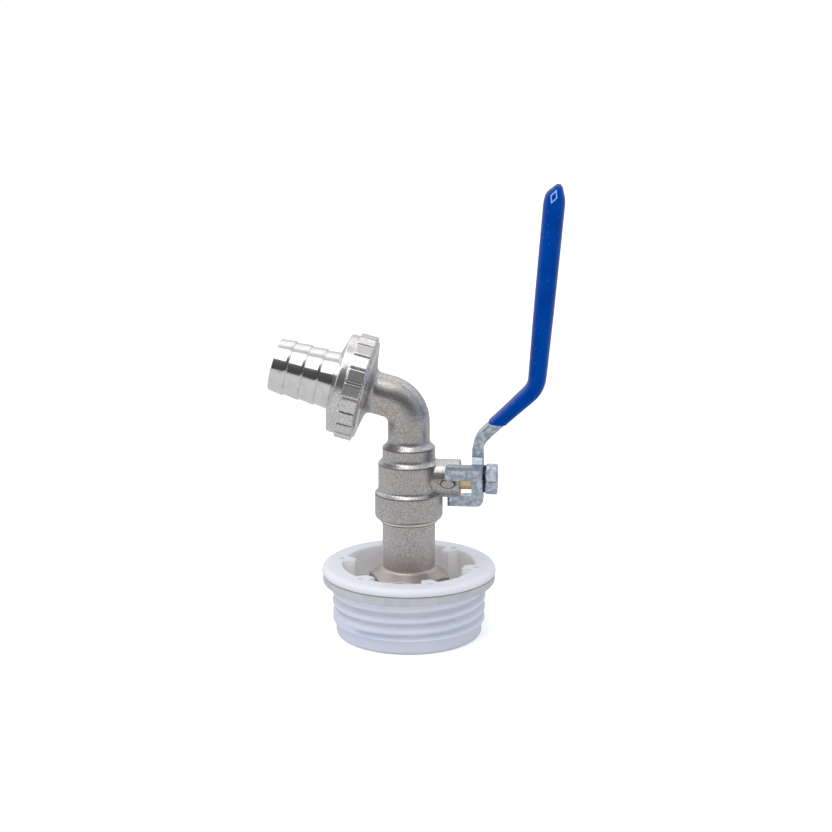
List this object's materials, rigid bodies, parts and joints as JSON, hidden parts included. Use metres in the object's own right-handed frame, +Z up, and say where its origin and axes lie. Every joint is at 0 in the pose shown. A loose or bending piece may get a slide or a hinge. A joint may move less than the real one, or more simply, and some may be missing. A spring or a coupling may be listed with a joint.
{
  "type": "drum bung tap",
  "caption": "Ball tap screwed into a plastic drum bung, with an elbowed barbed hose outlet and a dipped lever.",
  "frame": {"origin": "on the axis of the drum thread, level with the bung's bottom rim", "axes": "+Z up the inlet tube, +X along the valve stem to the lever, outlet towards -X, viewer at -Y"},
  "size_m": [0.1037, 0.0626, 0.161],
  "materials": {
    "bung_plastic": "moulded polypropylene, soft satin white",
    "gasket_rubber": "white rubber, smooth",
    "seal_rubber": "black rubber, smooth",
    "nickel_tube": "brass, satin nickel plated over a sandy surface",
    "nickel_casting": "brass casting, satin nickel plated over a sandy surface",
    "nickel_union": "brass, bright nickel plated",
    "tail_chrome": "turned brass, polished chrome plated",
    "ball_chrome": "brass, polished and chrome plated",
    "seat_plastic": "white fluoropolymer",
    "stem_brass": "turned bare brass",
    "zinc_steel": "zinc plated steel, cool grey with a faint mottle",
    "dark_steel": "blackened spring steel",
    "grip_vinyl": "dipped vinyl, cobalt blue, soft gloss"
  },
  "bodies": {
    "root": {"bung_body": "bung_plastic", "flange_gasket": "gasket_rubber", "spigot_washer": "seal_rubber", "inlet_spigot": "nickel_tube", "body_joint_seal": "seal_rubber", "valve_body": "nickel_casting", "inlet_seat": "seat_plastic", "outlet_seat": "seat_plastic", "outlet_seal": "seal_rubber"},
    "lever_body": {"lever": "zinc_steel", "lever_grip": "grip_vinyl", "lock_washer": "dark_steel", "lever_nut": "zinc_steel", "stem": "stem_brass", "stem_thrust_washer": "seat_plastic", "stem_o_ring_inner": "seal_rubber", "stem_o_ring_outer": "seal_rubber", "ball": "ball_chrome"},
    "tail_body": {"hose_tail": "tail_chrome"},
    "nut_body": {"union_nut": "nickel_union"}
  },
  "joints": [
    {"name": "lever_turn", "type": "hinge", "parent": "root", "child": "lever_body", "pos_m": [0, 0, 0.057], "axis": [1, 0, 0], "range_deg": [-90, 0]},
    {"name": "hose_tail_draw_off", "type": "slide", "parent": "root", "child": "tail_body", "axis": [-0.9659, 0, 0.2588], "range_m": [0, 0.00726]},
    {"name": "union_nut_turn", "type": "hinge", "parent": "tail_body", "child": "nut_body", "pos_m": [0, 0, 0.0844], "axis": [-0.9659, 0, 0.2588], "range_deg": [0, 1440]}
  ],
  "couplings": [
    {"joint": "union_nut_turn", "follows": "hose_tail_draw_off", "rad_per_m": 3463.7}
  ]
}
